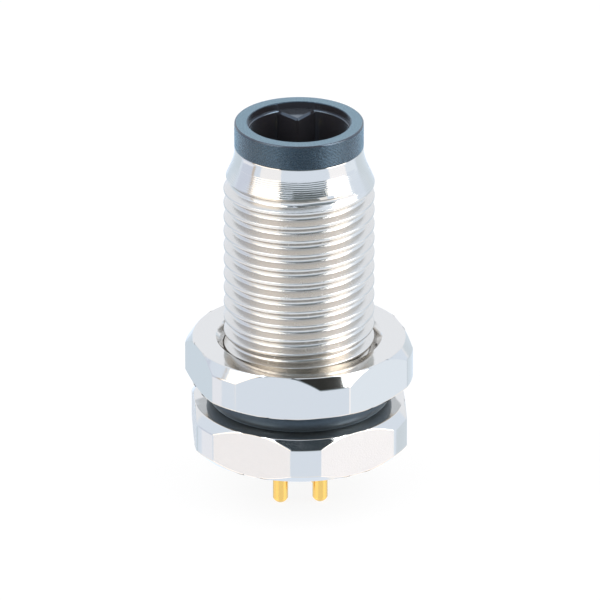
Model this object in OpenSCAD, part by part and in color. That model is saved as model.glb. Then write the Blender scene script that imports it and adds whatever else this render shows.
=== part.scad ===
// Panel-mount circular connector with pin contacts, a fine outside thread and a hexagon flange.
// Millimetres. The origin is on the axis, on the flange's front face, which is the panel seat.
// +Z points to the mating end, and the key of the mouth lies on the +Y side.
// The thread is drawn as a plain cylinder over its crests.

/* [Thread] */
// Diameter over the crests of the outside thread
thread_d = 4.92; // [4.6:0.02:5.4]
// Pitch, the climb of the nut in one turn
thread_pitch = 0.5; // [0.35:0.05:0.6]
// Height of the full thread's front end above the panel seat
thread_top = 7.68; // [6.5:0.02:10]

/* [Shell] */
// Width of the flange across its flats
flange_af = 6.9; // [6.6:0.05:7.6]
// How far the flange's corners are turned down from sharp ones
flange_corner_trim = 0.25; // [0.1:0.01:0.35]
// Thickness of the flange
flange_h = 1.52; // [1:0.02:2.5]
// Radial width of the chamfer round the panel seat
seat_chamfer_w = 0.28; // [0.1:0.01:0.5]
// Height of that chamfer
seat_chamfer_h = 0.29; // [0.1:0.01:0.5]
// Radial width of the chamfer round the flange's rear face
rear_chamfer_w = 0.29; // [0.05:0.01:0.5]
// Height of that chamfer
rear_chamfer_h = 0.28; // [0.05:0.01:0.4]
// Wall of the shell behind the thread's root
shell_wall = 0.25; // [0.15:0.01:0.35]
// Wall of the plain neck in front of the thread
neck_wall = 0.2; // [0.12:0.01:0.3]
// Height of the cone between the thread and the neck
cone_h = 0.82; // [0.3:0.01:1.2]
// Height of the plain neck
neck_h = 0.43; // [0.2:0.01:0.8]
// Chamfer at the rear mouth of the bore
bore_edge = 0.1; // [0.02:0.01:0.15]

/* [Panel nut] */
// Width of the nut across its flats
nut_af = 6.92; // [6.6:0.02:7.6]
// How far the nut's corners are turned down from sharp ones
nut_corner_trim = 0.26; // [0.1:0.01:0.35]
// Height of the nut
nut_h = 1.51; // [1:0.01:2.5]
// Radial width of the chamfer round the nut's front face
nut_front_chamfer_w = 0.26; // [0.1:0.01:0.5]
// Height of that chamfer
nut_front_chamfer_h = 0.37; // [0.1:0.01:0.5]
// Radial width of the chamfer round the nut's rear face
nut_rear_chamfer_w = 0.28; // [0.05:0.01:0.5]
// Height of that chamfer
nut_rear_chamfer_h = 0.16; // [0.05:0.01:0.4]
// Radial gap between the nut's bore and the thread's crests
nut_gap = 0.03; // [0.01:0.01:0.1]
// Radial width of the countersinks at both ends of the nut's bore
nut_mouth_w = 0.23; // [0.1:0.01:0.35]
// Turn of the nut, clockwise seen from the mating end
nut_turn = 15; // [0:1:59]

/* [Panel seal] */
// Section of the O-ring before it is squeezed
seal_section = 0.85; // [0.6:0.01:1.1]
// Height to which the nut squeezes it
seal_h = 0.68; // [0.5:0.01:0.9]
// Radial gap between the O-ring and the relief in the shell
seal_gap = 0.03; // [0.01:0.01:0.1]

/* [Insert] */
// Height of the collar in front of the shell
collar_h = 0.82; // [0.5:0.01:1.5]
// Chamfer on the collar's outer edge
collar_edge = 0.05; // [0.02:0.01:0.15]
// Wall of the insert round the mating cavity
insert_wall = 0.28; // [0.15:0.01:0.35]
// Radial gap between the insert and the shell's bore
insert_gap = 0.02; // [0.01:0.005:0.05]
// Depth of the mating cavity below the front face
cavity_h = 4.75; // [3.5:0.05:6]
// Thickness of the floor in front of the contacts' shoulders
floor_h = 1.1; // [0.9:0.05:2]
// Depth of the wider lead-in at the mouth
lead_in_h = 0.24; // [0.1:0.01:0.5]
// Radial width of that lead-in
lead_in_w = 0.08; // [0.02:0.01:0.12]
// Distance from the axis to the edge of the V key
key_tip = 0.82; // [0.6:0.01:1.1]
// Angle between the two faces of the key
key_angle = 81; // [60:1:110]
// Width of the flat on the key's edge
key_flat = 0.1; // [0.05:0.01:0.3]
// Chamfer on the front edges of the key
key_chamfer = 0.07; // [0.02:0.01:0.2]
// Depth of the insert's rear face inside the flange
insert_recess = 0.2; // [0.05:0.01:0.5]
// Lead-in chamfer on the insert's rear end
insert_lead = 0.12; // [0.05:0.01:0.2]

/* [Insert seal] */
// Section of the inner O-ring before it is squeezed
inner_seal_section = 0.45; // [0.35:0.01:0.55]
// Part of that section taken up by the squeeze
inner_seal_squeeze = 0.05; // [0.02:0.01:0.1]
// Gap between the inner O-ring and what it touches
inner_seal_gap = 0.01; // [0.005:0.005:0.02]
// Room for the inner O-ring on each side in its groove
groove_room = 0.05; // [0.02:0.01:0.1]

/* [Contacts] */
// Spacing of the contacts, which stand on three corners of a square
contact_pitch = 1.3; // [1.15:0.01:1.45]
// Diameter of the mating pins
pin_d = 0.5; // [0.4:0.01:0.6]
// Depth of the pins' tips below the front face
pin_recess = 1.55; // [1:0.05:3]
// Diameter of the contacts' bodies inside the insert
body_d = 0.84; // [0.75:0.01:0.95]
// Diameter of the solder tails
tail_d = 0.5; // [0.4:0.01:0.6]
// Length of the solder tails behind the flange
tail_l = 1.98; // [1:0.02:4]
// How far the cone at the bodies' rear ends stands out behind the insert
tail_stand = 0.05; // [0.02:0.01:0.15]
// Height of the domed ends of pins and tails
dome_h = 0.18; // [0.05:0.01:0.2]
// Radial gap between a contact and its hole
contact_gap = 0.01; // [0.005:0.005:0.03]

/* [Hidden] */
$fn = 96;
nickel = [0.80, 0.79, 0.77];
gold = [0.93, 0.76, 0.36];
black_plastic = [0.13, 0.14, 0.16];
black_rubber = [0.10, 0.10, 0.11];

// Cuts run past the faces that they open, and joined solids run into each other, by this much
past = 0.1;
// Depth of an outside thread's root, as a share of its pitch
root_share = 0.6134;

// Radii that follow from the thread outwards and inwards
thread_r = thread_d / 2;
relief_r = thread_r - root_share * thread_pitch;
bore_r = relief_r - shell_wall;
neck_r = bore_r + neck_wall;
insert_r = bore_r - insert_gap;
cavity_r = insert_r - insert_wall;
lead_in_r = cavity_r + lead_in_w;
nut_bore_r = thread_r + nut_gap;
nut_mouth_r = nut_bore_r + nut_mouth_w;
flange_corner_r = corner_radius(flange_af) - flange_corner_trim;
nut_corner_r = corner_radius(nut_af) - nut_corner_trim;
groove_r = bore_r - inner_seal_section + inner_seal_squeeze;

// Heights, from the rear to the mating end
tail_tip_z = -flange_h - tail_l;
rear_z = -flange_h + insert_recess;
tail_base_z = rear_z - tail_stand;
body_z = tail_base_z + (body_d - tail_d) / 2;
thread_z = seal_h + thread_r - relief_r;
neck_z = thread_top + cone_h;
lip_z = neck_z + neck_h;
front_z = lip_z + collar_h;
floor_z = front_z - cavity_h;
shoulder_z = floor_z - floor_h;
key_top_z = front_z - lead_in_h;
pin_tip_z = front_z - pin_recess;
groove_z = floor_z - floor_h / 2;

// The contacts' corners of the square, two opposite the key and one beside it
contact_corners = [[-1, -1], [1, -1], [1, 1]];

// Radius to the sharp corner of a hexagon of this width across its flats
function corner_radius(af) = af / 2 / cos(30);

// A hexagon of bar, with turned corners and a conical chamfer at each end
module turned_hexagon(af, corner_r, h, low_w, low_h, top_w, top_h) {
    intersection() {
        cylinder(r = corner_radius(af), h = h, $fn = 6);
        rotate_extrude() polygon([
            [0, 0], [corner_r - low_w, 0], [corner_r, low_h],
            [corner_r, h - top_h], [corner_r - top_w, h], [0, h]
        ]);
    }
}

// A round rod from the origin up, whose far end is a spherical dome
module domed_rod(d, l) {
    dome_r = (pow(d / 2, 2) + pow(dome_h, 2)) / (2 * dome_h);
    rotate_extrude() union() {
        square([d / 2, l - dome_h]);
        intersection() {
            square([d / 2, l]);
            translate([0, l - dome_r]) circle(r = dome_r);
        }
    }
}

// An O-ring of round section, flattened to this width and height where it is squeezed
module squeezed_ring(centre_r, section, w, h) {
    rotate_extrude() translate([centre_r, 0]) intersection() {
        circle(d = section);
        square([w, h], center = true);
    }
}

// Flange with its corners on the key's plane
module flange() {
    rotate([0, 0, 30]) translate([0, 0, -flange_h]) turned_hexagon(
        flange_af, flange_corner_r, flange_h,
        rear_chamfer_w, rear_chamfer_h, seat_chamfer_w, seat_chamfer_h
    );
}

// Relief under the seal, thread, cone and neck, turned as one barrel that starts inside the flange
module barrel() {
    rotate_extrude() polygon([
        [0, -flange_h / 2], [relief_r, -flange_h / 2], [relief_r, seal_h], [thread_r, thread_z],
        [thread_r, thread_top], [neck_r, neck_z], [neck_r, lip_z], [0, lip_z]
    ]);
}

module shell() {
    color(nickel) difference() {
        union() {
            flange();
            barrel();
        }
        translate([0, 0, -flange_h - past]) cylinder(r = bore_r, h = flange_h + lip_z + 2 * past);
        translate([0, 0, -flange_h - past])
            cylinder(r1 = bore_r + bore_edge + past, r2 = bore_r, h = bore_edge + past);
    }
}

// Cutter for a chamfer along a straight edge that runs along X, for a solid on its +Y side and below it
module edge_cutter() {
    translate([0, 0, -key_chamfer]) rotate([45, 0, 0]) translate([-insert_r, -insert_r, 0])
        cube([2 * insert_r, 2 * insert_r, insert_r]);
}

// V key in the mouth, from the cavity's floor to the lead-in, rooted in the insert's wall
module key() {
    half_w = key_flat / 2 + (insert_r - key_tip) * tan(key_angle / 2);
    difference() {
        translate([0, 0, floor_z - past]) intersection() {
            linear_extrude(key_top_z - floor_z + past) polygon([
                [-key_flat / 2, key_tip], [key_flat / 2, key_tip], [half_w, insert_r], [-half_w, insert_r]
            ]);
            cylinder(r = cavity_r + insert_wall / 2, h = key_top_z - floor_z + past);
        }
        translate([0, key_tip, key_top_z]) edge_cutter();
        for (side = [-1, 1]) translate([side * key_flat / 2, key_tip, key_top_z])
            rotate([0, 0, side * (90 - key_angle / 2)]) edge_cutter();
    }
}

// Stepped hole for one contact: the pin's hole in the floor, and the body's hole behind it
module contact_hole() {
    translate([0, 0, rear_z - past]) cylinder(d = body_d + 2 * contact_gap, h = shoulder_z - rear_z + past);
    translate([0, 0, shoulder_z - past]) cylinder(d = pin_d + 2 * contact_gap, h = floor_h + 2 * past);
}

module insert() {
    color(black_plastic) union() {
        difference() {
            rotate_extrude() polygon([
                [0, rear_z], [insert_r - insert_lead, rear_z], [insert_r, rear_z + insert_lead],
                [insert_r, lip_z], [neck_r, lip_z], [neck_r, front_z - collar_edge],
                [neck_r - collar_edge, front_z], [0, front_z]
            ]);
            translate([0, 0, floor_z]) cylinder(r = cavity_r, h = cavity_h + past);
            translate([0, 0, key_top_z]) cylinder(r = lead_in_r, h = lead_in_h + past);
            rotate_extrude() translate([groove_r, groove_z - inner_seal_section / 2 - groove_room])
                square([bore_r - groove_r, inner_seal_section + 2 * groove_room]);
            for (corner = contact_corners) translate(corner * contact_pitch / 2) contact_hole();
        }
        key();
    }
}

module insert_seal() {
    color(black_rubber) translate([0, 0, groove_z]) squeezed_ring(
        (groove_r + bore_r) / 2, inner_seal_section,
        bore_r - groove_r - 2 * inner_seal_gap, inner_seal_section
    );
}

// One turned contact: tail, body with a cone behind and a shoulder in front, and mating pin
module contact(corner) {
    color(gold) translate(corner * contact_pitch / 2) union() {
        translate([0, 0, tail_base_z]) mirror([0, 0, 1]) domed_rod(tail_d, tail_base_z - tail_tip_z);
        translate([0, 0, tail_base_z]) cylinder(d1 = tail_d, d2 = body_d, h = body_z - tail_base_z);
        translate([0, 0, body_z]) cylinder(d = body_d, h = shoulder_z - body_z);
        translate([0, 0, shoulder_z]) domed_rod(pin_d, pin_tip_z - shoulder_z);
    }
}

module panel_seal() {
    color(black_rubber) translate([0, 0, seal_h / 2]) squeezed_ring(
        relief_r + seal_gap + seal_section / 2, seal_section, seal_section, seal_h
    );
}

module panel_nut() {
    color(nickel) translate([0, 0, seal_h]) rotate([0, 0, -nut_turn]) difference() {
        turned_hexagon(
            nut_af, nut_corner_r, nut_h,
            nut_rear_chamfer_w, nut_rear_chamfer_h, nut_front_chamfer_w, nut_front_chamfer_h
        );
        translate([0, 0, -past]) cylinder(r = nut_bore_r, h = nut_h + 2 * past);
        translate([0, 0, -past]) cylinder(r1 = nut_mouth_r + past, r2 = nut_bore_r, h = nut_mouth_w + past);
        translate([0, 0, nut_h - nut_mouth_w])
            cylinder(r1 = nut_bore_r, r2 = nut_mouth_r + past, h = nut_mouth_w + past);
    }
}

shell();
insert();
insert_seal();
contact(contact_corners[0]);  // contact_1
contact(contact_corners[1]);  // contact_2
contact(contact_corners[2]);  // contact_3
panel_seal();
panel_nut();
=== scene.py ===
# %% [markdown]
# # A panel-mount circular connector
# The object is a small male connector, 13 mm long. A nickel-plated shell carries a fine thread and a
# hexagon flange, a hexagon nut clamps it to a panel over an O-ring, and a black keyed insert holds
# three gold pins. A CAD model gives every size and place, and it is loaded first as a fixed frame.
# The lesson then models each piece again with soft edges and a real thread, and gives it its finish.

# %% Load the frame
import math

import bpy
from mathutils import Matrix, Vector


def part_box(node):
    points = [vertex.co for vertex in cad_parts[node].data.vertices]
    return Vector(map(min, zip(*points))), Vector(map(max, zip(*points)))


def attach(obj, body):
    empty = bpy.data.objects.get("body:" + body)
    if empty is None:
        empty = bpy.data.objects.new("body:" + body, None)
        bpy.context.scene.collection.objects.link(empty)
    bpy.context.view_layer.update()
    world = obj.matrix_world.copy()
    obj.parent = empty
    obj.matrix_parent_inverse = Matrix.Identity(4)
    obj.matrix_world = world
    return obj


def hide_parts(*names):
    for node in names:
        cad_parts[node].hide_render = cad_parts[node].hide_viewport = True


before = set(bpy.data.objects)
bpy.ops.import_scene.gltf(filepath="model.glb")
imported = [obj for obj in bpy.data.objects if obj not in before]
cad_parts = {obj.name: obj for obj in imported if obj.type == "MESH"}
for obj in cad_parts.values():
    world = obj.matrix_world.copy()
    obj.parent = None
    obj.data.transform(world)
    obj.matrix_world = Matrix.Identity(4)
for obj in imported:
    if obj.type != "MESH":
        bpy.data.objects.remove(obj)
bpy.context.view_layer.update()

MM = 0.001

# %% [markdown]
# ## Sizes
# Heights come from the boxes of the CAD nodes, so each piece follows the frame. The thread's form, the
# walls and the small edges can't be read off a box, so they are named in millimetres, here or where they
# are first needed. All pieces are modelled in millimetres and made metres at the end, because merging
# and bevelling work best on numbers near 1.

# %% Sizes in millimetres


def node_box(node):
    """The two corners of a CAD node's box, in millimetres."""
    low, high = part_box(node)
    return low / MM, high / MM


flange_rear_z = node_box("shell")[0].z
lip_z = node_box("shell")[1].z
seal_h = node_box("panel_seal")[1].z
nut_top_z = node_box("panel_nut")[1].z
insert_rear_z = node_box("insert")[0].z
front_z = node_box("insert")[1].z
tail_tip_z = node_box("contact_1")[0].z
pin_tip_z = node_box("contact_1")[1].z

# The thread's pitch, and radii over its crests, in the relief behind it, in the bore and at the neck
pitch = 0.5
thread_r = 2.46
relief_r = 2.1533
bore_r = 1.9033
neck_r = 2.1033
neck_h = 0.43
cone_h = 0.82
neck_z = lip_z - neck_h
thread_top_z = neck_z - cone_h
print(f"thread ends at {thread_top_z:.2f} mm, insert ends at {front_z:.2f} mm")

# %% [markdown]
# ## Tools for turned pieces
# Nearly every piece of a connector is turned on a lathe, so the basic act is the same: draw half of its
# section as a line of edges, round the corners, and spin the line about the axis. The line is drawn as
# by hand: a plane is merged to one vertex, and that vertex is extruded from point to point. The Screw
# modifier would also spin it, but it is kept for the thread, where its climb is needed.

# %% Selecting
MERGE_DISTANCE = 0.001


def activate(*pieces):
    """Selects these pieces alone, with the first of them active."""
    if bpy.context.mode != "OBJECT":
        bpy.ops.object.mode_set(mode="OBJECT")
    bpy.ops.object.select_all(action="DESELECT")
    for piece in pieces:
        piece.select_set(True)
    bpy.context.view_layer.objects.active = pieces[0]


def edit(piece, domain="VERT", chosen=None):
    """Opens a piece in edit mode with all of it selected, or the elements that chosen says yes to."""
    activate(piece)
    bpy.ops.object.mode_set(mode="EDIT")
    bpy.ops.mesh.select_mode(type=domain)
    bpy.ops.mesh.select_all(action="SELECT" if chosen is None else "DESELECT")
    if chosen is not None:
        bpy.ops.object.mode_set(mode="OBJECT")
        mesh = piece.data
        elements = {"VERT": mesh.vertices, "EDGE": mesh.edges, "FACE": mesh.polygons}[domain]
        for element in elements:
            element.select = chosen(element)
        bpy.ops.object.mode_set(mode="EDIT")


def done():
    bpy.ops.object.mode_set(mode="OBJECT")


def clean(piece, distance=MERGE_DISTANCE):
    """Merges vertices that lie together, and turns all faces outwards."""
    edit(piece)
    bpy.ops.mesh.remove_doubles(threshold=distance)
    bpy.ops.mesh.normals_make_consistent(inside=False)
    done()


print(f"vertices merge when they are closer than {MERGE_DISTANCE} mm")

# %% Drawing and turning
TURN_STEPS = 144
CORNER_SEGMENTS = 3


def draw_line(name, points):
    """A line of edges from point to point."""
    bpy.ops.object.select_all(action="DESELECT")
    bpy.ops.mesh.primitive_plane_add(size=1, location=points[0])
    piece = bpy.context.active_object
    piece.name = name
    bpy.ops.object.transform_apply(location=True, rotation=True, scale=True)
    edit(piece)
    bpy.ops.mesh.merge(type="CENTER")
    for start, end in zip(points, points[1:]):
        step = Vector(end) - Vector(start)
        bpy.ops.mesh.extrude_vertices_move(TRANSFORM_OT_translate={"value": step})
    done()
    return piece


def draw_section(name, points):
    """Half of a turned section, through points of (radius, height)."""
    return draw_line(name, [(r, 0, z) for r, z in points])


def round_corners(piece, corners, size):
    """Rounds the corners of a section that lie at these points of (radius, height)."""
    def at_corner(vertex):
        return any(math.hypot(vertex.co.x - r, vertex.co.z - z) < MERGE_DISTANCE for r, z in corners)

    edit(piece, "VERT", at_corner)
    bpy.ops.mesh.bevel(affect="VERTICES", offset=size, segments=CORNER_SEGMENTS)
    done()


def spin(piece, steps=TURN_STEPS):
    """Turns a section about the axis."""
    edit(piece)
    bpy.ops.mesh.spin(steps=steps, angle=math.tau, center=(0, 0, 0), axis=(0, 0, 1))
    done()
    clean(piece)
    return piece


print(f"a full turn has {TURN_STEPS} steps of {360 / TURN_STEPS} degrees")

# %% Measuring


def radius(co):
    return math.hypot(co.x, co.y)


def count_sides(mesh):
    """How many faces each edge has: 2 in a closed surface, 1 on an open ring."""
    sides = {edge.key: 0 for edge in mesh.edges}
    for polygon in mesh.polygons:
        for edge in polygon.edge_keys:
            sides[edge] += 1
    return sides


def box_of(piece):
    """The lowest and the highest corner of a piece's box."""
    return [[op(v.co[i] for v in piece.data.vertices) for i in range(3)] for op in (min, max)]


def report(piece):
    """Prints what a piece is made of. A finished piece has no open edges."""
    mesh = piece.data
    mesh.calc_loop_triangles()
    box = [round(c, 3) for corner in box_of(piece) for c in corner]
    open_edges = sum(count != 2 for count in count_sides(mesh).values())
    print(f"{piece.name}: {len(mesh.loop_triangles)} triangles, {open_edges} open edges, box {box}")


# %% [markdown]
# ## Thread
# The shell has a right-hand thread of 0.5 mm pitch. One pitch of its section is drawn, with a small flat
# on the crest and a round root, and the Screw modifier carries it round and up. A thread cut by a
# Boolean would leave long thin faces that shade badly, so the swept thread is kept whole and its
# vertices are pushed into the turned form instead: below the cone in front and the relief behind. In
# front the last groove rises out of the metal where the cutting tool was drawn back.

# %% Thread form
# The flat on a crest, the radius of a root, the flanks' angle to the axis and the crest's soft edges
crest_flat = 0.08
root_round = 0.115
root_steps = 6
flank_angle = math.radians(60)
thread_edge = 0.02
crest_phase = 0.17
flank_climb = (pitch - crest_flat) / 2 - root_round * math.sin(flank_angle)
thread_depth = flank_climb * math.tan(flank_angle) + root_round * (1 - math.cos(flank_angle))
print(f"thread depth {thread_depth:.3f} mm")

# %% Thread sweep
# Enough turns to pass the neck, because what lies past it is pushed back into the shell's form
shell_thread_turns = 19


def sweep_thread(name, growth, turns):
    """A thread grown outwards by a clearance. Its crests pass the X axis at crest_phase, pitch by pitch."""
    crest_r = thread_r + growth
    root_r = crest_r - thread_depth
    arc = [flank_angle * step / root_steps for step in range(root_steps + 1)]
    rise = [(root_r + root_round * (1 - math.cos(a)), root_round * math.sin(a) - pitch / 2) for a in arc]
    half = [*rise, (crest_r, -crest_flat / 2)]
    piece = draw_section(
        name, [(r, crest_phase + z) for r, z in half] + [(r, crest_phase - z) for r, z in reversed(half)])
    round_corners(piece, [(crest_r, crest_phase + side * crest_flat / 2) for side in (-1, 1)], thread_edge)
    activate(piece)
    screw = piece.modifiers.new("thread", "SCREW")
    screw.axis = "Z"
    screw.angle = math.tau
    screw.screw_offset = pitch
    screw.iterations = turns
    screw.steps = TURN_STEPS
    screw.render_steps = TURN_STEPS
    screw.use_merge_vertices = True
    screw.merge_threshold = MERGE_DISTANCE
    bpy.ops.object.modifier_apply(modifier=screw.name)
    clean(piece)
    return piece


shell = sweep_thread("threaded_shell", 0, shell_thread_turns)
report(shell)

# %% Thread in the shell's form
# A groove starts to rise this far past the end of the full thread, and is gone after this climb
run_out_past = 0.13
run_out_climb = 0.07
# The cone runs softly into the neck over this length on either side
neck_fillet = 0.38
run_out_z = thread_top_z + run_out_past


def push_into_form(piece, low_z, high_z, limit_at, keep, fade_at=None):
    """Holds each vertex between two heights, and its radius to a limit: min outside, max inside."""
    for vertex in piece.data.vertices:
        x, y, z = vertex.co
        r = math.hypot(x, y)
        if fade_at:
            r += (thread_r - r) * fade_at(math.atan2(y, x), z)
        z = min(max(z, low_z), high_z)
        share = keep(r, limit_at(z)) / math.hypot(x, y)
        vertex.co = (x * share, y * share, z)
    clean(piece)


def shell_limit(z):
    """The shell's turned radius at a height: relief, full thread, cone and a soft run into the neck."""
    slope = (thread_r - neck_r) / (neck_z - thread_top_z)
    cone = thread_r - slope * (z - thread_top_z)
    if z > neck_z - neck_fillet:
        cone = neck_r + slope * (neck_z + neck_fillet - z) ** 2 / (4 * neck_fillet)
    rear_end = relief_r + max(z - seal_h, 0)
    return min(thread_r, cone, rear_end)


def run_out(angle, z):
    """How far the groove here has risen out of the metal at the thread's front end, from 0 to 1."""
    climb = pitch * angle / math.tau
    first_groove = crest_phase + pitch / 2 + climb
    groove = first_groove + pitch * round((z - first_groove) / pitch)
    return min(max((groove - run_out_z) / run_out_climb, 0), 1)


push_into_form(shell, seal_h, neck_z + neck_fillet, shell_limit, min, run_out)
report(shell)

# %% [markdown]
# ## Shell
# The real shell is turned from one hexagon bar: the flange keeps the bar's flats, and the barrel is
# turned down and threaded. The barrel grows here from the two ends of the swept thread, ring by ring:
# forwards to the plain neck, round the lip and back through the bore, and backwards down the relief.

# %% Barrel
lip_edge = 0.03
# The middle of a rounded edge lies about this share of its size inside the corner
round_share = 0.3
lip_inset = round_share * lip_edge


def pull_ring(piece, z, *points):
    """Extrudes the open ring at a height through the next points of (radius, height)."""
    on_ring = {v.index for v in piece.data.vertices if abs(v.co.z - z) < MERGE_DISTANCE}
    r = radius(piece.data.vertices[min(on_ring)].co)
    sides = count_sides(piece.data)
    edit(piece, "EDGE", lambda edge: sides[edge.key] == 1 and on_ring.issuperset(edge.vertices))
    for next_r, next_z in points:
        bpy.ops.mesh.extrude_region_move(TRANSFORM_OT_translate={"value": (0, 0, next_z - z)})
        bpy.ops.transform.resize(value=(next_r / r, next_r / r, 1), center_override=(0, 0, 0))
        r, z = next_r, next_z
    done()


pull_ring(
    shell, neck_z + neck_fillet,
    (neck_r, lip_z - lip_edge), (neck_r - lip_inset, lip_z - lip_inset), (neck_r - lip_edge, lip_z),
    (bore_r + lip_edge, lip_z), (bore_r, lip_z - lip_edge), (bore_r, 0),
)
pull_ring(shell, seal_h, (relief_r, 0))
report(shell)

# %% [markdown]
# The flange is the bar's hexagon inside a turned blank. A round blank with its two chamfers is spun,
# and a six-sided cylinder trims it, which gives the curved edges where a cone meets a flat. Plating
# leaves these edges soft, so every sharp edge is bevelled a little before the barrel is joined on.

# %% Trimming and softening
EDGE_SEGMENTS = 2
HEXAGON_SIDES = 6
hexagon_edge = 0.035
hexagon_edge_angle = 12
# Longer than any piece that it trims
trim_length = 20


def combine(piece, tool, operation):
    """Joins, cuts or trims a piece with a tool by a Boolean modifier, and removes the tool."""
    activate(piece)
    boolean = piece.modifiers.new(operation.lower(), "BOOLEAN")
    boolean.operation = operation
    boolean.solver = "EXACT"
    boolean.object = tool
    bpy.ops.object.modifier_apply(modifier=boolean.name)
    bpy.data.objects.remove(tool)
    clean(piece)


def soften_edges(piece, size, angle):
    """Breaks every edge that is sharper than the angle, as tumbling and plating do."""
    edit(piece, "EDGE", lambda edge: False)
    bpy.ops.mesh.edges_select_sharp(sharpness=math.radians(angle))
    bpy.ops.mesh.bevel(offset=size, segments=EDGE_SEGMENTS, clamp_overlap=False)
    done()
    clean(piece)


def corner_radius(across_flats):
    return across_flats / 2 / math.cos(math.pi / HEXAGON_SIDES)


def turned_hexagon(name, section, across_flats, angle):
    """Spins a closed section to a ring and trims it with a hexagon, turned from corners on the Y axis."""
    ring = spin(draw_section(name, [*section, section[0]]))
    bpy.ops.object.select_all(action="DESELECT")
    bpy.ops.mesh.primitive_cylinder_add(
        vertices=HEXAGON_SIDES, radius=corner_radius(across_flats), depth=trim_length,
        rotation=(0, 0, math.radians(angle)))
    hexagon = bpy.context.active_object
    bpy.ops.object.transform_apply(location=True, rotation=True, scale=True)
    combine(ring, hexagon, "INTERSECT")
    clean(ring, hexagon_edge / 2)
    return ring


def join_rings(body, part, on_shared_face):
    """Opens a part at the face that it shares with a body, softens its edges and merges the two."""
    low, high = box_of(part)
    edit(part, "FACE", on_shared_face)
    bpy.ops.mesh.delete(type="FACE")
    done()
    soften_edges(part, hexagon_edge, hexagon_edge_angle)
    for vertex in part.data.vertices:
        vertex.co = [min(max(c, a), b) for c, a, b in zip(vertex.co, low, high)]
    activate(body, part)
    bpy.ops.object.join()
    clean(body)


print(f"hexagon edges sharper than {hexagon_edge_angle} degrees are softened by {hexagon_edge} mm")

# %% Flange
flange_af = 6.9
# Turning cuts the bar's corners back by this much
flange_trim = 0.25
seat_chamfer_w = 0.28
seat_chamfer_h = 0.29
rear_chamfer_w = 0.29
rear_chamfer_h = 0.28
bore_edge = 0.1

flange_r = corner_radius(flange_af) - flange_trim
flange = turned_hexagon("flange", [
    (bore_r, 0), (relief_r, 0), (flange_r - seat_chamfer_w, 0), (flange_r, -seat_chamfer_h),
    (flange_r, flange_rear_z + rear_chamfer_h), (flange_r - rear_chamfer_w, flange_rear_z),
    (bore_r + bore_edge, flange_rear_z), (bore_r, flange_rear_z + bore_edge),
], flange_af, 0)
join_rings(shell, flange, lambda face: face.center.z > -MERGE_DISTANCE and radius(face.center) < relief_r)
report(shell)

# %% [markdown]
# ## Panel nut
# The nut is a slice of hexagon bar, drilled, tapped and countersunk at both ends. Its thread is the
# same sweep with a little clearance, so both threads mesh at every full turn of travel. Pushed out to
# the countersinks, the sweep ends in two circles that fit the hole in the hexagon.

# %% Nut
nut_af = 6.92
nut_trim = 0.26
nut_front_chamfer_w = 0.26
nut_front_chamfer_h = 0.37
nut_rear_chamfer_w = 0.28
nut_rear_chamfer_h = 0.16
nut_mouth_r = 2.72
nut_angle = 15
thread_clearance = 0.04
# Enough turns to pass the nut's front face
nut_thread_turns = 6


def countersink(z):
    return nut_mouth_r - min(z - seal_h, nut_top_z - z)


nut = sweep_thread("tapped_nut", thread_clearance, nut_thread_turns)
push_into_form(nut, seal_h, nut_top_z, countersink, max)
nut_r = corner_radius(nut_af) - nut_trim
nut_body = turned_hexagon("nut_body", [
    (nut_mouth_r, nut_top_z), (nut_r - nut_front_chamfer_w, nut_top_z),
    (nut_r, nut_top_z - nut_front_chamfer_h), (nut_r, seal_h + nut_rear_chamfer_h),
    (nut_r - nut_rear_chamfer_w, seal_h), (nut_mouth_r, seal_h),
], nut_af, nut_angle)
join_rings(nut, nut_body, lambda face: radius(face.center) < nut_mouth_r)
report(nut)

# %% [markdown]
# ## Insert
# The insert is one black moulding: a collar in front of the shell, a deep mouth with a wider lead-in,
# and a floor that holds the contacts. It is spun as one section from the rear face round to the floor
# of the mouth, with its edges rounded as a mould leaves them.

# %% Insert body
insert_r = 1.8833
cavity_r = 1.6033
lead_in_r = 1.6833
lead_in_depth = 0.24
mouth_depth = 4.75
floor_h = 1.1
groove_r = 1.5033
groove_w = 0.55
insert_lead = 0.12
collar_edge = 0.05
mouth_edge = 0.025
ledge_edge = 0.055
key_top_z = front_z - lead_in_depth
floor_z = front_z - mouth_depth
shoulder_z = floor_z - floor_h
groove_high_z = floor_z - (floor_h - groove_w) / 2
groove_low_z = groove_high_z - groove_w

insert = draw_section("keyed_insert", [
    (0, insert_rear_z), (insert_r - insert_lead, insert_rear_z), (insert_r, insert_rear_z + insert_lead),
    (insert_r, groove_low_z), (groove_r, groove_low_z), (groove_r, groove_high_z), (insert_r, groove_high_z),
    (insert_r, lip_z), (neck_r, lip_z), (neck_r, front_z), (lead_in_r, front_z), (lead_in_r, key_top_z),
    (cavity_r, key_top_z), (cavity_r, floor_z), (0, floor_z),
])
round_corners(insert, [(neck_r, front_z)], collar_edge)
round_corners(insert, [(lead_in_r, front_z), (neck_r, lip_z)], mouth_edge)
round_corners(insert, [(cavity_r, key_top_z)], ledge_edge)
spin(insert)
report(insert)

# %% [markdown]
# The key is a V-shaped rib on the mouth's wall that lets the plug in at one turn only. Its outline has
# five corners and is extruded up to the ledge. The bevel operator chamfers its front edges, a Boolean
# joins it to the wall, and the contacts' stepped holes are drilled through the floor.

# %% Key
key_tip = 0.82
key_flat = 0.1
key_angle = 81
key_root_x = 0.709
key_root_r = 1.743
key_chamfer = 0.07
key_edge = 0.012
key_edge_angle = 20
# Tools and joined pieces reach this far past the faces that they meet
past = 0.1

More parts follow.
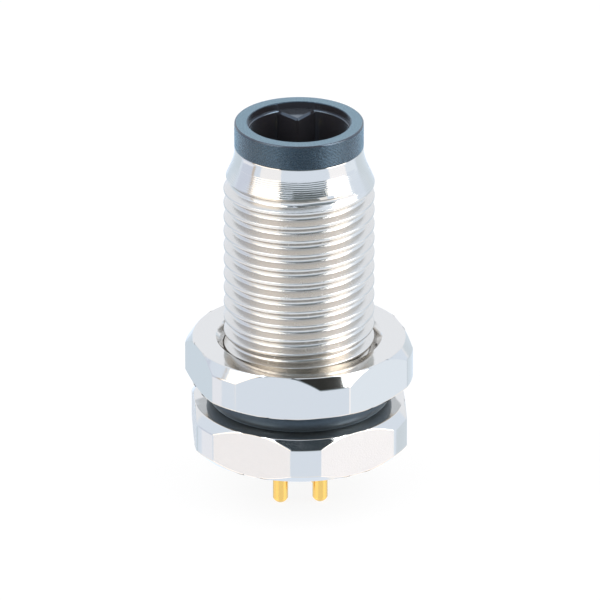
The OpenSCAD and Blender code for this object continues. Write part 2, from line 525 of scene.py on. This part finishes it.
key_root_y = key_tip + (key_root_x - key_flat / 2) / math.tan(math.radians(key_angle / 2))
key_outline = [
    (key_flat / 2, key_tip), (key_root_x, key_root_y), (0, key_root_r),
    (-key_root_x, key_root_y), (-key_flat / 2, key_tip),
]
key = draw_line("key", [(x, y, floor_z - past) for x, y in key_outline])
edit(key)
bpy.ops.mesh.edge_face_add()
bpy.ops.mesh.extrude_region_move(TRANSFORM_OT_translate={"value": (0, 0, key_top_z - floor_z + past)})
done()
clean(key)


def on_key_front(edge):
    """The top edges of the key's two faces and of its blunt edge."""
    ends = [key.data.vertices[i].co for i in edge.vertices]
    return all(end.z > key_top_z - MERGE_DISTANCE and end.y < key_root_y + MERGE_DISTANCE for end in ends)


edit(key, "EDGE", on_key_front)
bpy.ops.mesh.bevel(offset=key_chamfer, segments=1)
done()
soften_edges(key, key_edge, key_edge_angle)
combine(insert, key, "UNION")
report(insert)

# %% Contact holes
contact_offset = 0.65
contact_spots = [
    (-contact_offset, -contact_offset), (contact_offset, -contact_offset), (contact_offset, contact_offset)]
contact_gap = 0.01
pin_r = 0.25
body_r = 0.42
PIN_STEPS = 48

for x, y in contact_spots:
    for hole_r, low, high in (
        (body_r + contact_gap, insert_rear_z - past, shoulder_z),
        (pin_r + contact_gap, shoulder_z - past, floor_z + past),
    ):
        bpy.ops.object.select_all(action="DESELECT")
        bpy.ops.mesh.primitive_cylinder_add(
            vertices=PIN_STEPS, radius=hole_r, depth=high - low, location=(x, y, (low + high) / 2))
        combine(insert, bpy.context.active_object, "DIFFERENCE")
report(insert)

# %% [markdown]
# ## Contacts and O-ring
# The three contacts are turned pins with a thicker body that a shoulder stops in the floor. Their ends
# are domed, so an arc of a few points closes each line. The O-ring is a round cord of rubber, pressed
# flat where the nut and the flange touch it: its section is two arcs between two straight lines.

# %% Contacts
dome_h = 0.18
dome_steps = 8
contact_edge = 0.03
# The taper from body to tail ends this far behind the insert's rear face
tail_gap = 0.05
tail_base_z = insert_rear_z - tail_gap


def dome(rod_r, tip_z, way):
    """Points of a domed end, from its tip on the axis to the rod's wall, going up or down the rod."""
    dome_r = (rod_r ** 2 + dome_h ** 2) / (2 * dome_h)
    reach = math.acos(1 - dome_h / dome_r)
    angles = [reach * step / dome_steps for step in range(dome_steps + 1)]
    return [(dome_r * math.sin(a), tip_z + way * dome_r * (1 - math.cos(a))) for a in angles]


contact = draw_section("contact_pin", [
    *dome(pin_r, tail_tip_z, 1), (pin_r, tail_base_z), (body_r, tail_base_z + body_r - pin_r),
    (body_r, shoulder_z), (pin_r, shoulder_z), *reversed(dome(pin_r, pin_tip_z, -1)),
])
round_corners(contact, [(body_r, tail_base_z + body_r - pin_r)], contact_edge)
spin(contact, PIN_STEPS)
contacts = [contact]
while len(contacts) < len(contact_spots):
    activate(contact)
    bpy.ops.object.duplicate(linked=False)
    contacts.append(bpy.context.active_object)
for number, (pin, (x, y)) in enumerate(zip(contacts, contact_spots), 1):
    pin.name = f"gold_contact_{number}"
    activate(pin)
    bpy.ops.transform.translate(value=(x, y, 0))
    bpy.ops.object.transform_apply(location=True, rotation=True, scale=True)
    report(pin)

# %% O-ring
seal_section = 0.85
seal_gap = 0.03
seal_centre_r = relief_r + seal_gap + seal_section / 2
seal_arc_steps = 14


def bulge(side):
    """The arc of the O-ring's section on one side, from low to high on the outside and back inside."""
    reach = math.asin(seal_h / seal_section)
    angles = [reach * (2 * step / seal_arc_steps - 1) for step in range(seal_arc_steps + 1)]
    half = seal_section / 2
    return [
        (seal_centre_r + side * half * math.cos(a), seal_h / 2 + side * half * math.sin(a)) for a in angles
    ]


ring_section = [*bulge(1), *bulge(-1)]
seal = spin(draw_section("o_ring", [*ring_section, ring_section[0]]))
report(seal)

# %% [markdown]
# ## Shading and metres
# A smooth shade by angle keeps real edges crisp, and weighted normals let the large flats stay flat up
# to their bevels. Then each piece shrinks from millimetres to metres, about the origin, and rides on
# the body of the CAD node that it replaces.

# %% Hand the pieces over
smooth_angle = 32
# The modifier's highest weight, with which a large face wins over the bevels beside it
large_face_weight = 100


def hand_over(piece, body, node):
    """Shades a piece, turns it to metres and lets it stand for its CAD node."""
    activate(piece)
    bpy.ops.object.shade_smooth_by_angle(angle=math.radians(smooth_angle))
    normals = piece.modifiers.new("normals", "WEIGHTED_NORMAL")
    normals.weight = large_face_weight
    normals.keep_sharp = True
    bpy.ops.object.modifier_apply(modifier=normals.name)
    piece.scale = (MM, MM, MM)
    bpy.ops.object.transform_apply(location=True, rotation=True, scale=True)
    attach(piece, body)
    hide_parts(node)


hand_over(shell, "body", "shell")
hand_over(nut, "nut", "panel_nut")
hand_over(insert, "body", "insert")
hand_over(seal, "body", "panel_seal")
for number, pin in enumerate(contacts, 1):
    hand_over(pin, "body", f"contact_{number}")

# %% [markdown]
# ## Materials
# Each finish is named for the real one. Colours are written as sRGB hex values and turned to linear by
# one function, and another adds a node with its settings and links. Patterns read Object coordinates,
# which a Mapping node turns from metres to millimetres, so a scale is one over a real size.

# %% Colour and nodes


def linear(hex_colour):
    """Linear RGBA of an sRGB colour such as #C0C0C0, by the standard's own curve."""
    shares = [int(hex_colour[i:i + 2], 16) / 255 for i in (1, 3, 5)]
    return [s / 12.92 if s <= 0.04045 else ((s + 0.055) / 1.055) ** 2.4 for s in shares] + [1]


def add_node(tree, kind, settings=None, inputs=None):
    """Adds a node, sets its properties, and links or fills its inputs."""
    node = tree.nodes.new(kind)
    for name, value in (settings or {}).items():
        setattr(node, name, value)
    for socket, value in (inputs or {}).items():
        if isinstance(value, bpy.types.NodeSocket):
            tree.links.new(value, node.inputs[socket])
        else:
            node.inputs[socket].default_value = value
    return node


def new_material(name):
    """A material with its tree, its shader, and Object coordinates in millimetres."""
    material = bpy.data.materials.new(name)
    material.use_nodes = True
    tree = material.node_tree
    place = add_node(tree, "ShaderNodeTexCoord")
    scale = (1 / MM, 1 / MM, 1 / MM)
    millimetres = add_node(
        tree, "ShaderNodeMapping", inputs={"Vector": place.outputs["Object"], "Scale": scale})
    return material, tree, tree.nodes["Principled BSDF"], millimetres.outputs["Vector"]


print("sRGB #808080 is", round(linear("#808080")[0], 3), "in linear light")

# %% [markdown]
# Bright nickel plating is a warm, mirror-like metal. It copies what it covers, so its surface keeps a
# faint orange peel, and the roughness drifts a little. The cone in front of the thread still shows the
# lines of the turning tool, and the flange's flats keep the dull grain of drawn bar. Pictures of such
# marks would have to be unwrapped onto each piece, so noise and waves of the right size are used.

# %% Nickel plating
# A warm pale metal, against which the cool studio reads as blue-grey
nickel_colour = "#D8D3CC"
thread_nickel_colour = "#D3CEC7"
# Waves of orange peel, about a micrometre high
peel_size = 0.22
peel_height = 0.0012


def nickel(name, rough_low, rough_high, colour=nickel_colour):
    """A plating with orange peel in its relief and its roughness. Its Bump node may take other marks."""
    material, tree, shader, millimetres = new_material(name)
    peel = add_node(
        tree, "ShaderNodeTexNoise",
        inputs={"Vector": millimetres, "Scale": 1 / peel_size, "Detail": 3, "Roughness": 0.6})
    rough = add_node(
        tree, "ShaderNodeMapRange",
        inputs={"Value": peel.outputs["Fac"], "To Min": rough_low, "To Max": rough_high})
    relief = add_node(
        tree, "ShaderNodeBump", inputs={"Height": peel.outputs["Fac"], "Distance": peel_height * MM})
    shader.inputs["Base Color"].default_value = linear(colour)
    shader.inputs["Metallic"].default_value = 1
    tree.links.new(rough.outputs["Result"], shader.inputs["Roughness"])
    tree.links.new(relief.outputs["Normal"], shader.inputs["Normal"])
    return material, tree, millimetres, relief


# Nearly a mirror: sharp reflections on the nut, the neck and the flange's turned faces
bright_nickel, *_ = nickel("nickel plating, bright", rough_low=0.06, rough_high=0.12)
# The cutter's marks soften the reflections, so crest and groove run together a little
thread_nickel, *_ = nickel(
    "nickel plating over a cut thread", rough_low=0.22, rough_high=0.3, colour=thread_nickel_colour)
print("plain nickel finishes:", [m.name for m in (bright_nickel, thread_nickel)])

# %% Nickel over tool marks
# A Wave texture of scale 1 repeats after this length
wave_length = math.tau / 20
# Turning feeds are nearer 0.03 mm, too fine to show in the render, so the lines are drawn coarser
tool_line_spacing = 0.065
tool_line_height = 0.0042
# The grain of drawn bar is finer than this as well, and is drawn as coarse as it needs to show
bar_grain_size = 0.05
bar_grain_height = 0.009
bar_nickel_colour = "#D4CFCA"

# Ringed lines break the dark reflection in the cone into stripes
turned_nickel, tree, millimetres, relief = nickel(
    "nickel plating over turning lines", rough_low=0.08, rough_high=0.16)
lines = add_node(
    tree, "ShaderNodeTexWave",
    settings={"wave_type": "BANDS", "bands_direction": "Z"},
    inputs={
        "Vector": millimetres, "Scale": wave_length / tool_line_spacing, "Distortion": 1.5, "Detail": 2})
tree.links.new(lines.outputs["Fac"], relief.inputs["Height"])
relief.inputs["Distance"].default_value = tool_line_height * MM

# The flange's flats look evenly satin and pale, with no picture in them
drawn_nickel, tree, millimetres, relief = nickel(
    "nickel plating over drawn bar", rough_low=0.34, rough_high=0.48, colour=bar_nickel_colour)
grain = add_node(
    tree, "ShaderNodeTexNoise",
    inputs={"Vector": millimetres, "Scale": 1 / bar_grain_size, "Detail": 2, "Roughness": 0.6})
tree.links.new(grain.outputs["Fac"], relief.inputs["Height"])
relief.inputs["Distance"].default_value = bar_grain_height * MM
print("nickel finishes with marks:", [m.name for m in (turned_nickel, drawn_nickel)])

# %% [markdown]
# Gold plating on the contacts is a thin, smooth layer of deep yellow. One colour and one roughness would
# look like paint, so the roughness drifts in soft clouds, as it does on real plating.

# %% Gold plating
gold_colour = "#F0C26C"
gold_rough_low = 0.16
gold_rough_high = 0.26

# A soft, deep yellow gleam without a sharp picture in it
gold, tree, shader, millimetres = new_material("gold plating")
cloud = add_node(
    tree, "ShaderNodeTexNoise", inputs={"Vector": millimetres, "Scale": 1 / peel_size, "Detail": 2})
rough = add_node(
    tree, "ShaderNodeMapRange",
    inputs={"Value": cloud.outputs["Fac"], "To Min": gold_rough_low, "To Max": gold_rough_high})
shader.inputs["Base Color"].default_value = linear(gold_colour)
shader.inputs["Metallic"].default_value = 1
tree.links.new(rough.outputs["Result"], shader.inputs["Roughness"])
print("contact finish:", gold.name)

# %% [markdown]
# The insert is glass-filled polyamide: black, half matt, with a fine speckle where fibres reach the
# surface. Rings from the turned mould stretch the lights on its collar upwards. Its rim is matt, and its
# colour there is painted slate grey as painted light from above. Its mouth and the edge of its collar are
# glossy, as the parts of the mould leave them, and their black is painted a little lighter as painted fill
# light in the dim mouth. The blue in the polymers' gloss and sheen is a painted tint for cool light.
# Nitrile rubber is a duller black that still catches a broad sheen. One function makes them all, because
# they differ only in colour, grain and gloss, and the collar's rings are added to its own material.

# %% Black polymers
polymer_ior = 1.53
polymer_sheen = 0.5
polymer_sheen_roughness = 0.3
# Painted reflection tint: a cool blue on the polymers' gloss and sheen stands for the studio's cool light
cool_reflection_tint = "#CBE3F6"
# Flecks start to show at the first height of the grain and are full at the second
fleck_start = 0.4
fleck_full = 0.75


def black_polymer(name, colour, fleck_colour, grain_size, grain_height, rough_low, rough_high, gloss=0.5):
    """A dark moulded polymer with one fine grain in its colour, its roughness and its relief, and a painted
    cool tint in its gloss and sheen.
    """
    material, tree, shader, millimetres = new_material(name)
    grain = add_node(
        tree, "ShaderNodeTexNoise",
        inputs={"Vector": millimetres, "Scale": 1 / grain_size, "Detail": 3, "Roughness": 0.65})
    rough = add_node(
        tree, "ShaderNodeMapRange",
        inputs={"Value": grain.outputs["Fac"], "To Min": rough_low, "To Max": rough_high})
    relief = add_node(
        tree, "ShaderNodeBump", inputs={"Height": grain.outputs["Fac"], "Distance": grain_height * MM})
    share = add_node(
        tree, "ShaderNodeMapRange",
        inputs={"Value": grain.outputs["Fac"], "From Min": fleck_start, "From Max": fleck_full})
    # A Mix node has its colours in inputs 6 and 7 and in output 2
    flecks = add_node(
        tree, "ShaderNodeMix", {"data_type": "RGBA"},
        {0: share.outputs["Result"], 6: linear(colour), 7: linear(fleck_colour)})
    tree.links.new(flecks.outputs[2], shader.inputs["Base Color"])
    tree.links.new(rough.outputs["Result"], shader.inputs["Roughness"])
    tree.links.new(relief.outputs["Normal"], shader.inputs["Normal"])
    shader.inputs["IOR"].default_value = polymer_ior
    shader.inputs["Specular IOR Level"].default_value = gloss
    shader.inputs["Specular Tint"].default_value = linear(cool_reflection_tint)
    shader.inputs["Sheen Weight"].default_value = polymer_sheen
    shader.inputs["Sheen Roughness"].default_value = polymer_sheen_roughness
    shader.inputs["Sheen Tint"].default_value = linear(cool_reflection_tint)
    return material, tree, shader, millimetres, relief.outputs["Normal"]


# The blasted mould of an O-ring leaves a grain of nearly a tenth of a millimetre
rubber_grain_size = 0.08
rubber_grain_height = 0.003
# A flat charcoal, a little lighter where it turns up to the light
rubber, *_ = black_polymer(
    "nitrile rubber, black", "#181B1E", "#262C32", rubber_grain_size, rubber_grain_height,
    rough_low=0.36, rough_high=0.54, gloss=0.9)
print("O-ring finish:", rubber.name)

# %% Polyamide
# Glass fibres are 0.01 mm thick, too fine to show in the render, so their speckle is drawn coarser
fibre_size = 0.05
fibre_height = 0.006
# A polished core leaves a smooth skin over most of the fibres
polished_height = fibre_height / 6
# A turned mould leaves rings about 0.02 mm apart, drawn coarser here, which stretch lights upwards
mould_ring_spacing = 0.05
mould_ring_height = 0.012
# Painted reflection tints: a bluer gloss and sheen on the collar stand for cool light on its sides
collar_reflection_tint = "#BBDEF8"
collar_sheen = 1
collar_cool_sheen_tint = "#A8D6F8"

# Blue-black with a faint speckle, and tall soft lights on the sides that face the bright panels; the blue in
# those lights is a painted tint for cool light
polyamide, tree, shader, millimetres, fibres = black_polymer(
    "polyamide, glass-filled black", "#0E1114", "#182530", fibre_size, fibre_height,
    rough_low=0.2, rough_high=0.35, gloss=0.85)
rings = add_node(
    tree, "ShaderNodeTexWave",
    settings={"wave_type": "BANDS", "bands_direction": "Z"},
    inputs={
        "Vector": millimetres, "Scale": wave_length / mould_ring_spacing, "Distortion": 1.5, "Detail": 2})
ringed = add_node(
    tree, "ShaderNodeBump",
    inputs={"Height": rings.outputs["Fac"], "Distance": mould_ring_height * MM, "Normal": fibres})
tree.links.new(ringed.outputs["Normal"], shader.inputs["Normal"])
shader.inputs["Specular Tint"].default_value = linear(collar_reflection_tint)
shader.inputs["Sheen Weight"].default_value = collar_sheen
shader.inputs["Sheen Tint"].default_value = linear(collar_cool_sheen_tint)

# Matt from a rough skin, and painted slate grey as painted light from above, which the rim faces
matt_polyamide_painted_light, *_ = black_polymer(
    "polyamide, matt from an eroded mould", "#4A606D", "#768E9A", fibre_size, fibre_height,
    rough_low=0.45, rough_high=0.65)
# Glossy black in the mouth, with bright streaks where an edge mirrors a bright card; the black is painted a
# little lighter than the collar's as painted fill light in the dim mouth
glossy_polyamide_painted_fill, *_ = black_polymer(
    "polyamide, glossy from a polished core", "#262427", "#2C2A2E", fibre_size, polished_height,
    rough_low=0.08, rough_high=0.14, gloss=1)
print("insert finishes:", [m.name for m in (polyamide, matt_polyamide_painted_light, glossy_polyamide_painted_fill)])

# %% [markdown]
# A piece can carry several finishes. The faces that each one covers are found by their place and their
# normal, and are given its slot in edit mode, as by hand. A mask in one large material would do the same,
# but slots are easier to read and to change. The small O-ring inside keeps its CAD mesh, in rubber too.

# %% Give each piece its finish
# Limits on a normal's Z: below upright for a wall, above level for a face that looks forwards
upright = 0.01
level = 0.99
cone_tilt = 0.2
round_tilt_low = 0.02
round_tilt_high = 0.98
# Room in mm for faces that lie on a limit, and the least area in mm2 of one of the flange's flats
face_room = 0.01
thread_room = 0.1
flat_area = 2


def finish_faces(piece, material, chosen=None):
    """Gives a piece its main finish, or a second one to the faces that chosen says yes to."""
    if chosen is None:
        piece.data.materials.clear()
    piece.data.materials.append(material)
    if chosen is not None:
        edit(piece, "FACE", chosen)
        piece.active_material_index = len(piece.data.materials) - 1
        bpy.ops.object.material_slot_assign()
        done()


def on_cone(face):
    return thread_top_z < face.center.z / MM < neck_z and face.normal.z > cone_tilt


def on_thread(face):
    z, r = face.center.z / MM, radius(face.center) / MM
    return seal_h < z < thread_top_z and relief_r - face_room < r < thread_r + thread_room


def on_rim(face):
    return face.normal.z > level and face.center.z > (front_z - face_room) * MM


def on_gloss(face):
    """The mouth and the rounded front edge of the collar, glossy and painted a little lighter as fill light.
    """
    z, r = face.center.z / MM, radius(face.center) / MM
    in_mouth = z > floor_z and r < lead_in_r
    rounded = round_tilt_low < face.normal.z < round_tilt_high
    return in_mouth or (z > front_z - collar_edge and rounded and r > lead_in_r + mouth_edge)


def on_flange_flat(face):
    return abs(face.normal.z) < upright and face.center.z < 0 and face.area > flat_area * MM ** 2


finish_faces(shell, bright_nickel)
finish_faces(shell, thread_nickel, on_thread)
finish_faces(shell, turned_nickel, on_cone)
finish_faces(shell, drawn_nickel, on_flange_flat)
finish_faces(nut, bright_nickel)
finish_faces(nut, thread_nickel, on_thread)
finish_faces(insert, polyamide)
finish_faces(insert, glossy_polyamide_painted_fill, on_gloss)
finish_faces(insert, matt_polyamide_painted_light, on_rim)
finish_faces(seal, rubber)
finish_faces(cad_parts["insert_seal"], rubber)
for pin in contacts:
    finish_faces(pin, gold)
for piece in (shell, nut, insert):
    slots = range(len(piece.data.materials))
    counts = [sum(face.material_index == slot for face in piece.data.polygons) for slot in slots]
    print(f"{piece.name}: faces by finish {counts}")

# %% [markdown]
# ## Stage, camera and light
# The object stands on white paper in a white studio. Light Path makes the floor and the world plain white
# where they are seen, so no more light has to fall on the object, and a share of the paper's own shading
# keeps the soft shadow. From below the paper is clear.

# %% Floor
floor_size = 2.0
shadow_share = 0.12
paper_colour = "#F4F5F6"
white = "#FFFFFF"


def seen_share(tree):
    """A socket that is 1 for what the camera sees, straight, in gloss or through glass, and 0 elsewhere."""
    path = add_node(tree, "ShaderNodeLightPath")
    seen = add_node(
        tree, "ShaderNodeMath", {"operation": "ADD"},
        {0: path.outputs["Is Camera Ray"], 1: path.outputs["Is Glossy Ray"]})
    seen = add_node(
        tree, "ShaderNodeMath", {"operation": "ADD", "use_clamp": True},
        {0: seen.outputs[0], 1: path.outputs["Is Transmission Ray"]})
    return seen.outputs[0]


bpy.ops.object.select_all(action="DESELECT")
bpy.ops.mesh.primitive_plane_add(size=floor_size, location=(0, 0, tail_tip_z * MM))
floor = bpy.context.active_object
floor.name = "studio_floor"
# Cards stand for the floor in reflections
floor.visible_glossy = False
paper = bpy.data.materials.new("white paper")
paper.use_nodes = True
tree = paper.node_tree
tree.nodes.clear()
glow_share = add_node(
    tree, "ShaderNodeMath", {"operation": "MULTIPLY"}, {0: seen_share(tree), 1: 1 - shadow_share})
sheet = add_node(tree, "ShaderNodeBsdfDiffuse", inputs={"Color": linear(paper_colour)})
glow = add_node(tree, "ShaderNodeEmission", inputs={"Color": linear(white), "Strength": 1})
top = add_node(
    tree, "ShaderNodeMixShader",
    inputs={0: glow_share.outputs[0], 1: sheet.outputs[0], 2: glow.outputs[0]})
side = add_node(tree, "ShaderNodeNewGeometry")
clear = add_node(tree, "ShaderNodeBsdfTransparent")
both = add_node(
    tree, "ShaderNodeMixShader",
    inputs={0: side.outputs["Backfacing"], 1: top.outputs[0], 2: clear.outputs[0]})
add_node(tree, "ShaderNodeOutputMaterial", inputs={"Surface": both.outputs[0]})
floor.data.materials.append(paper)
print(f"floor {floor_size} m wide at {tail_tip_z:.2f} mm, under the tails")

# %% World
fill_strength = 0.8

world = bpy.data.worlds.new("white studio")
bpy.context.scene.world = world
world.use_nodes = True
tree = world.node_tree
tree.nodes.clear()
fill = add_node(tree, "ShaderNodeBackground", inputs={"Color": linear(white), "Strength": fill_strength})
backdrop = add_node(tree, "ShaderNodeBackground", inputs={"Color": linear(white), "Strength": 1})
mixed = add_node(
    tree, "ShaderNodeMixShader", inputs={0: seen_share(tree), 1: fill.outputs[0], 2: backdrop.outputs[0]})
add_node(tree, "ShaderNodeOutputWorld", inputs={"Surface": mixed.outputs[0]})
print("world and floor are white to the camera")

# %% [markdown]
# The camera looks down on the connector at the angle at which its round rim shows the right ellipse. A
# long lens from far away keeps the sides nearly parallel, as in a product photograph.

# %% Camera
camera_azimuth = -3.5
camera_elevation = 23.84
camera_distance = 382.3 * MM
look_at_z = 3.43 * MM
look_at = Vector((0, 0, look_at_z))
sensor_width = 36
focal_length = 702.9
frame_shift = 0.0016


def facing(azimuth, elevation, distance):
    """Place and turn of something that looks at the object. Azimuth 0 is in front, 90 on the right."""
    a, e = math.radians(azimuth), math.radians(elevation)
    back = Vector((math.sin(a) * math.cos(e), -math.cos(a) * math.cos(e), math.sin(e)))
    return {"location": look_at + distance * back, "rotation": (math.pi / 2 - e, 0, a)}


bpy.ops.object.camera_add(**facing(camera_azimuth, camera_elevation, camera_distance))
camera = bpy.context.active_object
camera.data.sensor_width = sensor_width
camera.data.lens = focal_length
camera.data.shift_x = frame_shift
bpy.context.scene.camera = camera
bpy.context.scene.view_settings.view_transform = "Standard"
print("camera at", [round(c / MM, 1) for c in camera.location], "mm")

# %% [markdown]
# Two soft lamps and the world light what is not metal. A lamp's power grows with its area, so it is worked
# out from the brightness that the eye would see in it.

# %% Lamps
light_distance = 0.3
softbox_size = 0.4
softbox_elevation = 35
# Brightness to the eye, where 1 is white
softbox_radiance = 1.6
softbox_power = softbox_radiance * math.pi * softbox_size ** 2

for name, azimuth in (("left_softbox", -62), ("right_softbox", 66)):
    bpy.ops.object.light_add(type="AREA", **facing(azimuth, softbox_elevation, light_distance))
    lamp = bpy.context.active_object
    lamp.name = name
    lamp.data.size = softbox_size
    lamp.data.energy = softbox_power
    # Cards stand for the lamps in reflections
    lamp.visible_glossy = False
print(f"two softboxes of {softbox_power:.2f} W")

# %% [markdown]
# Polished metal shows its surroundings, so the studio is built for its reflections. A cool white tent
# gives the pale greys, two bright panels give the white bands, low cards light the flanks of the thread
# from below, and dark flags around and over the camera give the dark stripes. A picture of a studio on
# the world would be quicker, but cards can be moved and dimmed one at a time. Each is a line spun into a
# curved strip, placed by the angles at which the object sees it, and only reflections see it.

# %% Cards for reflections
card_steps = 24
tent_radius = 2 * light_distance


def reflect_only(piece, name, colour, strength):
    """Makes a piece glow in reflections, unseen by the camera and without light or shadow elsewhere."""
    piece.name = name
    material = bpy.data.materials.new(name)
    material.use_nodes = True
    tree = material.node_tree
    tree.nodes.clear()
    glow = add_node(tree, "ShaderNodeEmission", inputs={"Color": linear(colour), "Strength": strength})
    add_node(tree, "ShaderNodeOutputMaterial", inputs={"Surface": glow.outputs[0]})
    piece.data.materials.append(material)
    piece.visible_camera = False
    piece.visible_diffuse = False
    piece.visible_shadow = False


def card(name, azimuths, elevations, colour, strength=1, nearness=1):
    """An upright curved card between two azimuths and two elevations. A nearer one covers the others."""
    distance = light_distance / nearness
    start, stop = (math.radians(azimuth) for azimuth in azimuths)
    piece = draw_line(name, [
        (distance * math.sin(stop), -distance * math.cos(stop), distance * math.tan(math.radians(elevation)))
        for elevation in elevations])
    edit(piece)
    bpy.ops.mesh.spin(steps=card_steps, angle=stop - start, center=(0, 0, 0), axis=(0, 0, 1))
    done()
    reflect_only(piece, name, colour, strength)


bpy.ops.object.select_all(action="DESELECT")
bpy.ops.mesh.primitive_uv_sphere_add(radius=tent_radius)
reflect_only(bpy.context.active_object, "cool_tent", "#DEECFF", 1.3)
print(f"tent of {tent_radius} m round the object")

# %% Panels and cards at the sides
# Azimuths of the two bright panels, and elevations that several cards share, in degrees
left, right = (-86, -34.5), (44.5, 84.5)
panel_band = (0, 62)
lamp_band = (38, 60)
frame_band = (2, 40)
frame_colour = "#50565C"

card("left_panel", left, panel_band, "#FFFAF4", 2)
card("left_lamp", (-84, -38), lamp_band, "#EEF7FF", 6, nearness=1.05)
card("left_bounce", (-73, left[1]), (-23.4, 0), "#F3F7FF", 1.4)
card("left_low", left, (-65, -26.5), "#FDFAFA", 1.76)
card("left_frame", (-91, -85.5), (-20, 30), "#E4DDD8", nearness=1.1)
card("left_inner_frame", (-36.5, left[1]), frame_band, frame_colour, nearness=1.1)
card("left_gap", (-120, -91), (-18, 22), "#DCE8FF", 1.15)
card("left_side", (-120, -88), (-28, -18), "#EAF1FF", 1.36)
card("left_wall", (-165, -125), (-28, 0), "#D8E8F8", 1.15)
card("right_panel", right, panel_band, white, 4.5)
card("right_lamp", (49, 83), lamp_band, "#EEF7FF", 11, nearness=1.05)
card("right_inner_frame", (right[0], 46.5), frame_band, frame_colour, nearness=1.1)
card("right_bounce", (50, right[1]), (-27.5, 0), "#F2F6FF", 1.5)
card("right_side", (right[1], 112), (-28, -8), "#E2EFFF", 1.38)
card("right_low", right, (-65, -27.5), "#FDF9F8", 1.72)
card("right_wall", (115, 165), (-28, 5), "#DCEAF8", 1.16)
print(f"panels from {left[0]} to {left[1]} and from {right[0]} to {right[1]} degrees")

# %% Cards below, in front and behind
# The gap between the panels, where the camera stands, and the band in which the floor would show
gap = (left[1], right[0])
floor_band = (-65, -28)

card("near_floor", gap, floor_band, "#F6F9FC", 1.24)
card("left_floor", (-170, left[0]), floor_band, "#FFFDFA", 1.3)
card("right_floor", (right[1], 170), floor_band, "#FFFDFA", 1.3)
card("camera_flag", gap, (3, 36), "#8E9DA8")
card("upper_flag", (-15, 49), (36, 66), "#363838", nearness=1.1)
card("overhead_flag", (-45, 47), (57, 74), "#36424C", nearness=1.2)
card("back_panel", (130, 230), (5, 60), "#EDF4FF", 1.28)
reflected = [thing for thing in bpy.data.objects if thing.type == "MESH" and not thing.visible_camera]
print("tent and cards seen only in reflections:", len(reflected))
